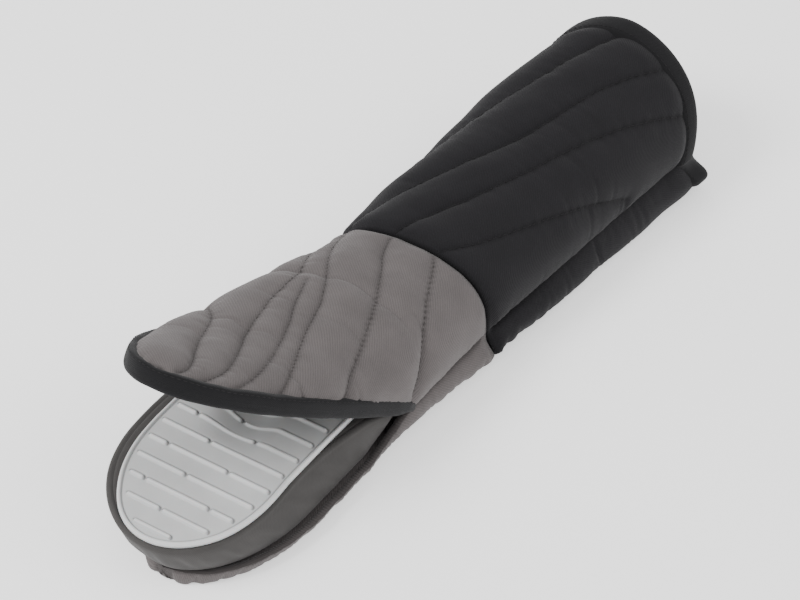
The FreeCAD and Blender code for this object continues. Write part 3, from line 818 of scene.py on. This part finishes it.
FIRST_RIB_X = 36.5
RIB_PITCH = 13.1
RIB_COUNT = 10
RIB_WIDTH = 2.6
RIB_HEIGHT = 1.4
RIB_GAP = 4.4
RIB_INSET = 4.5
RIB_BREAKS = [[-0.15], [-0.65, 0.31], [-0.15], [-0.65, 0.31], [-0.2],
              [-0.67, 0.33], [-0.15], [-0.7, 0.55], [-0.15], []]
CREASE_WIDTH = 0.55
PAD_TOP = 35.2
PAD_THICKNESS = 2.4
PAD_RIM_WIDTH = 2.3
PAD_RIM_HEIGHT = 0.9
PAD_GROOVE = 2.6
PAD_FIELD = 3.0


def rib_rows():
    """Each rib as (x, y low, y high) between the centres of its round ends, staggered row by row."""
    ribs = []
    for row in range(RIB_COUNT):
        x = FIRST_RIB_X + RIB_PITCH * row
        half = tongue_half(x + RIB_WIDTH, PAD_HALF_WIDTH, PAD_TIP_X) - RIB_INSET
        centre = key_value(CENTRE_Y, x) + key_value(PAD_SWAY, x)
        breaks = [share * half for share in RIB_BREAKS[row]]
        edges = [-half - RIB_GAP / 2 + RIB_WIDTH / 2] + breaks + [half + RIB_GAP / 2 - RIB_WIDTH / 2]
        for low, high in zip(edges[:-1], edges[1:]):
            ribs.append((x, centre + low + RIB_GAP / 2, centre + high - RIB_GAP / 2))
    return ribs


def ribbed_height(x, y):
    """Height of the pad's ribs, and how deep in the crease behind a rib each point lies."""
    height = np.zeros_like(x)
    crease = np.zeros_like(x)
    for rib_x, low, high in rib_rows():
        off_y = np.maximum(np.maximum(low - y, y - high), 0)
        outside = np.hypot(x - rib_x, off_y)
        round_top = smooth_step(RIB_WIDTH / 2 + 0.2, RIB_WIDTH / 2 - 0.75, outside)
        height = np.maximum(height, RIB_HEIGHT * round_top)
        # the crease lies on each rib's side away from the key light; it dips the surface and also sets the
        # painted shade there
        behind = smooth_step(0.9, -0.5, (x - rib_x) - 0.45 * off_y * np.sign(y - low))
        edge = np.exp(-((outside - RIB_WIDTH / 2 - CREASE_WIDTH) / CREASE_WIDTH) ** 2)
        crease = np.maximum(crease, edge * behind)
    return height - 0.45 * crease, crease


def grip_pad():
    """Silicone pad: a fine field with creased ribs, a groove inside its rim, and a raised rounded rim."""
    x, y = palm_grid(PAD_HALF_WIDTH, PAD_TIP_X, PAD_START_X, 0.5, 170, PAD_SWAY)
    outline = tongue(PAD_HALF_WIDTH, PAD_TIP_X, PAD_START_X, PAD_SWAY)
    flat = np.stack([x, y, np.zeros_like(x)], -1).reshape(-1, 3)
    edge = np.column_stack([outline, np.zeros(len(outline))])
    from_edge = nearest(flat, [edge])[0].reshape(x.shape)
    ribs, crease = ribbed_height(x, y)
    rim = smooth_step(PAD_RIM_WIDTH, PAD_RIM_WIDTH - 0.8, from_edge)
    groove = np.exp(-((from_edge - PAD_GROOVE) / 0.4) ** 2)
    inside = smooth_step(PAD_FIELD, PAD_FIELD + 0.6, from_edge)
    height = ribs * inside + PAD_RIM_HEIGHT * rim - 0.35 * groove
    height -= 1.1 * smooth_step(1.0, 0.0, from_edge) ** 2
    raised = np.clip(np.maximum(ribs * inside, rim) / RIB_HEIGHT, 0, 1)
    # painted shade in the creases behind the ribs and in the groove inside the rim
    crease_shade = np.maximum(crease * inside, 0.8 * groove)
    top = PAD_TOP - 0.4 - trough(x, y)
    outer = np.stack([x, y, top + height], -1)
    inner = np.stack([x, y, top - PAD_THICKNESS], -1)
    piece = thick_sheet("silicone_pad", outer, inner, SILICONE, {"raised": raised, "crease_shade": crease_shade})
    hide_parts("palm_grip_pad")
    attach(piece, "hand")


MOUTH_DEPTH = 9.0


def mouth_facing():
    """Smooth facing from the back of the palm up the fold of the mouth and along the flap's underside."""
    angles = section_angles(50)
    stations = tip_spaced(FLAP_START, 105.0, 153.0, 3.0)
    s, t = np.meshgrid(stations, angles, indexing="ij")
    roof = upper_point(s, t, 4.5, ROOF_CROWN)
    start = roof[0]
    middle = key_value(CENTRE_Y, FLAP_START)
    floor_y = middle + 0.9 * (start[:, 1] - middle)
    floor_z = GUSSET_TOP - 7.0 * np.abs(np.cos(angles)) ** 6
    floor = np.column_stack([np.full(len(angles), FLAP_START), floor_y, floor_z])
    rows = []
    for v in np.linspace(0, 1, 9)[:-1]:
        point = floor * (1 - v) + start * v
        point[:, 0] -= MOUTH_DEPTH * math.sin(math.pi * v) * np.sin(angles) ** 0.5
        rows.append(point)
    outer = np.concatenate([np.stack(rows), roof])
    outer[..., 2] += 0.5 * ripple(outer[..., 0] * 0.5, 3) * np.sin(angles)[None, :]
    inner = outer + np.array([-0.5, 0.0, 1.2])
    u, v = cloth_coordinates(outer)
    piece = thick_sheet("mouth_facing", outer, inner, GUSSET_CLOTH,
                        {"cloth_u": u, "cloth_v": v, "seam_shade": np.zeros_like(u)})
    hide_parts("mouth_fold", "flap_facing", "flap_facing_wadding", "flap_lining")
    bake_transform(piece)


# ---- bindings ----

TAPE_END_LENGTH = 16.0
TAPE_END_SHARE = 0.45
RIM_TAPE_OUT = (-1.4, 3.6)          # middle and half width of the tape, away from the rim
RIM_TAPE_UP = (1.8, 5.6)            # and up from it
CUFF_TAPE_ALONG = (4.5, 8.0)        # the same inward from the cuff's end
CUFF_TAPE_DEPTH = (3.2, 5.4)        # and in depth below the surface
RIM_STITCH_COLUMN = 4
CUFF_STITCH_COLUMN = 18


def rim_binding():
    """Bias tape folded over the flap's rim, from one corner of the mouth to the other."""
    turns = np.linspace(-1, 1, 200)
    share = np.cos(np.abs(turns) * math.pi / 2) ** (2 / FLAP_POWER)
    s = 1.0 + (FLAP_LENGTH - 1.0) * share
    side = np.where(turns < 0, 1.0, -1.0)
    half = FLAP_HALF_WIDTH * np.maximum(0.0, 1 - (s / FLAP_LENGTH) ** FLAP_POWER) ** 0.5
    centre = key_value(CENTRE_Y, 0) + s * math.tan(FLAP_SKEW)
    along = np.array([math.cos(RIM_ANGLE), 0.0, math.sin(RIM_ANGLE)])
    up = np.array([-math.sin(RIM_ANGLE), 0.0, math.cos(RIM_ANGLE)])
    path = s[:, None] * along + np.array([0.0, 0.0, SEAM_HEIGHT])
    path[:, 1] = centre + side * half
    tangent = np.gradient(path, axis=0)
    tangent /= np.linalg.norm(tangent, axis=1, keepdims=True)
    out = np.cross(tangent, up)
    out /= np.linalg.norm(out, axis=1, keepdims=True)
    out *= np.sign(np.sum(out * (path - path.mean(0)), axis=1))[:, None]
    place = np.concatenate(([0.0], np.cumsum(np.linalg.norm(np.diff(path, axis=0), axis=1))))
    around = np.linspace(0, 2 * math.pi, 36, endpoint=False)
    wobble = 1 + 0.04 * ripple(place * 0.6, 7)
    ends = smooth_step(0.0, TAPE_END_LENGTH, place)
    ends *= smooth_step(0.0, TAPE_END_LENGTH, place[-1] - place)
    wide = wobble * (TAPE_END_SHARE + (1 - TAPE_END_SHARE) * ends)
    rings = []
    for angle in around:
        off = RIM_TAPE_OUT[0] + RIM_TAPE_OUT[1] * signed_power(math.cos(angle), 0.6)
        rise = RIM_TAPE_UP[0] + RIM_TAPE_UP[1] * signed_power(math.sin(angle), 0.6)
        rings.append(path + out * (off * wide)[:, None] + up * (rise * wide)[:, None])
    rings = np.stack(rings, 1)
    u, v = cloth_coordinates(rings)
    # painted shade in a band along the tape's inner top edge, where it meets the flap
    near = np.exp(-((around - 0.62 * math.pi) / 0.35) ** 2)
    near = np.repeat(near[None, :], len(path), axis=0)
    attributes = {"cloth_u": u, "cloth_v": v, "seam_shade": near}
    piece = swept("flap_binding_tape", rings, BINDING_CLOTH, False, attributes)
    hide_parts("flap_binding")
    seam = rings[:, RIM_STITCH_COLUMN]
    thread = stitches("flap_binding_thread", [seam], [seam - path], BLACK_THREAD)
    for each in (piece, thread):
        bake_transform(each)


def cuff_binding():
    """Bias tape folded over the cuff's opening, all the way round."""
    angles = section_angles(90)
    around = np.linspace(0, 2 * math.pi, 26, endpoint=False)
    rings = []
    for angle in around:
        s = OPENING_X + CUFF_TAPE_ALONG[0] - CUFF_TAPE_ALONG[1] * signed_power(math.cos(angle), 0.7)
        depth = CUFF_TAPE_DEPTH[0] + CUFF_TAPE_DEPTH[1] * signed_power(math.sin(angle), 0.7)
        upper = upper_point(s, angles, depth)
        lower = lower_point(s, angles, depth)[-2:0:-1]
        rings.append(np.concatenate([upper, lower]))
    rings = np.stack(rings, 1)
    rings[..., 2] = np.maximum(rings[..., 2], 0.05)
    u, v = cloth_coordinates(rings)
    # painted shade in a band along the tape's edge towards the wrist, where it meets the cuff covers
    near = np.exp(-((around - 1.25 * math.pi) / 0.3) ** 2)
    near = np.repeat(near[None, :], len(rings), axis=0)
    attributes = {"cloth_u": u, "cloth_v": v, "seam_shade": near}
    piece = swept("cuff_binding_tape", rings, BINDING_CLOTH, True, attributes)
    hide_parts("cuff_binding")
    seam = rings[:, CUFF_STITCH_COLUMN]
    seam = np.concatenate([seam, seam[:1]])
    middle = np.concatenate([rings, rings[:1]]).mean(axis=1)
    thread = stitches("cuff_binding_thread", [seam], [seam - middle], BLACK_THREAD)
    for each in (piece, thread):
        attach(each, "cuff")


# ---- studio ----

KEY_LIGHT = {"place": (1.3, -1.1, 1.9), "size": 1.1, "power": 46.0}
FILL_LIGHT = {"place": (-0.6, 1.6, 1.6), "size": 1.8, "power": 12.0}
FLOOR_REACH = 6.0
FLOOR_GLOW = 0.7
FLOOR_GAP = 0.0005
CAMERA_AZIMUTH = math.radians(122.5)
CAMERA_ELEVATION = math.radians(46.6)
CAMERA_DISTANCE = 1.5
CAMERA_LENS = 123.0
CAMERA_TARGET = Vector((0.0, 0.0, 0.034))
AIM_RIGHT = 0.0466
AIM_UP = 0.0257


def camera():
    """The photographed view: from the tips of the fingers, over the mitt's right-hand side."""
    back = Vector((math.sin(CAMERA_AZIMUTH) * math.cos(CAMERA_ELEVATION),
                   -math.cos(CAMERA_AZIMUTH) * math.cos(CAMERA_ELEVATION), math.sin(CAMERA_ELEVATION)))
    right = Vector((math.cos(CAMERA_AZIMUTH), math.sin(CAMERA_AZIMUTH), 0.0))
    up = back.cross(right)
    data = bpy.data.cameras.new("camera")
    data.lens = CAMERA_LENS
    view = bpy.data.objects.new("camera", data)
    bpy.context.scene.collection.objects.link(view)
    view.location = CAMERA_TARGET + back * CAMERA_DISTANCE
    aim = CAMERA_TARGET + right * AIM_RIGHT + up * AIM_UP
    turn = (-back).rotation_difference(aim - view.location)
    view.rotation_mode = "QUATERNION"
    view.rotation_quaternion = turn @ (-back).to_track_quat("-Z", "Y")
    bpy.context.scene.camera = view


def area_light(name, place, size, power):
    data = bpy.data.lights.new(name, "AREA")
    data.shape = "DISK"
    data.size = size
    data.energy = power
    light = bpy.data.objects.new(name, data)
    light.location = place
    light.rotation_mode = "QUATERNION"
    light.rotation_quaternion = (-Vector(place)).to_track_quat("-Z", "Y")
    bpy.context.scene.collection.objects.link(light)


def studio():
    """Pale floor that glows faintly, a soft key light at the left, a fill light and an even sky."""
    area_light("key", **KEY_LIGHT)
    area_light("fill", **FILL_LIGHT)
    world = bpy.data.worlds.new("studio")
    bpy.context.scene.world = world
    world.use_nodes = True
    background = world.node_tree.nodes["Background"]
    background.inputs["Color"].default_value = (1.0, 1.0, 1.0, 1.0)
    background.inputs["Strength"].default_value = 1.0
    material, _, _, shader = new_material("floor")
    shader.inputs["Base Color"].default_value = (0.9, 0.9, 0.9, 1.0)
    shader.inputs["Roughness"].default_value = 0.9
    shader.inputs["Emission Color"].default_value = (1.0, 1.0, 1.0, 1.0)
    shader.inputs["Emission Strength"].default_value = FLOOR_GLOW
    mesh = bpy.data.meshes.new("floor")
    around = ((-1, -1), (1, -1), (1, 1), (-1, 1))
    corners = [(FLOOR_REACH * x, FLOOR_REACH * y, 0) for x, y in around]
    mesh.from_pydata(corners, [], [(0, 1, 2, 3)])
    mesh.materials.append(material)
    floor = bpy.data.objects.new("floor", mesh)
    floor.location.z = cad_low.z - FLOOR_GAP
    bpy.context.scene.collection.objects.link(floor)


camera()
studio()
upper_cover()
lower_cover()
cuff_covers()
linings()
jaw_side()
palm_facing()
grip_pad()
mouth_facing()
rim_binding()
cuff_binding()
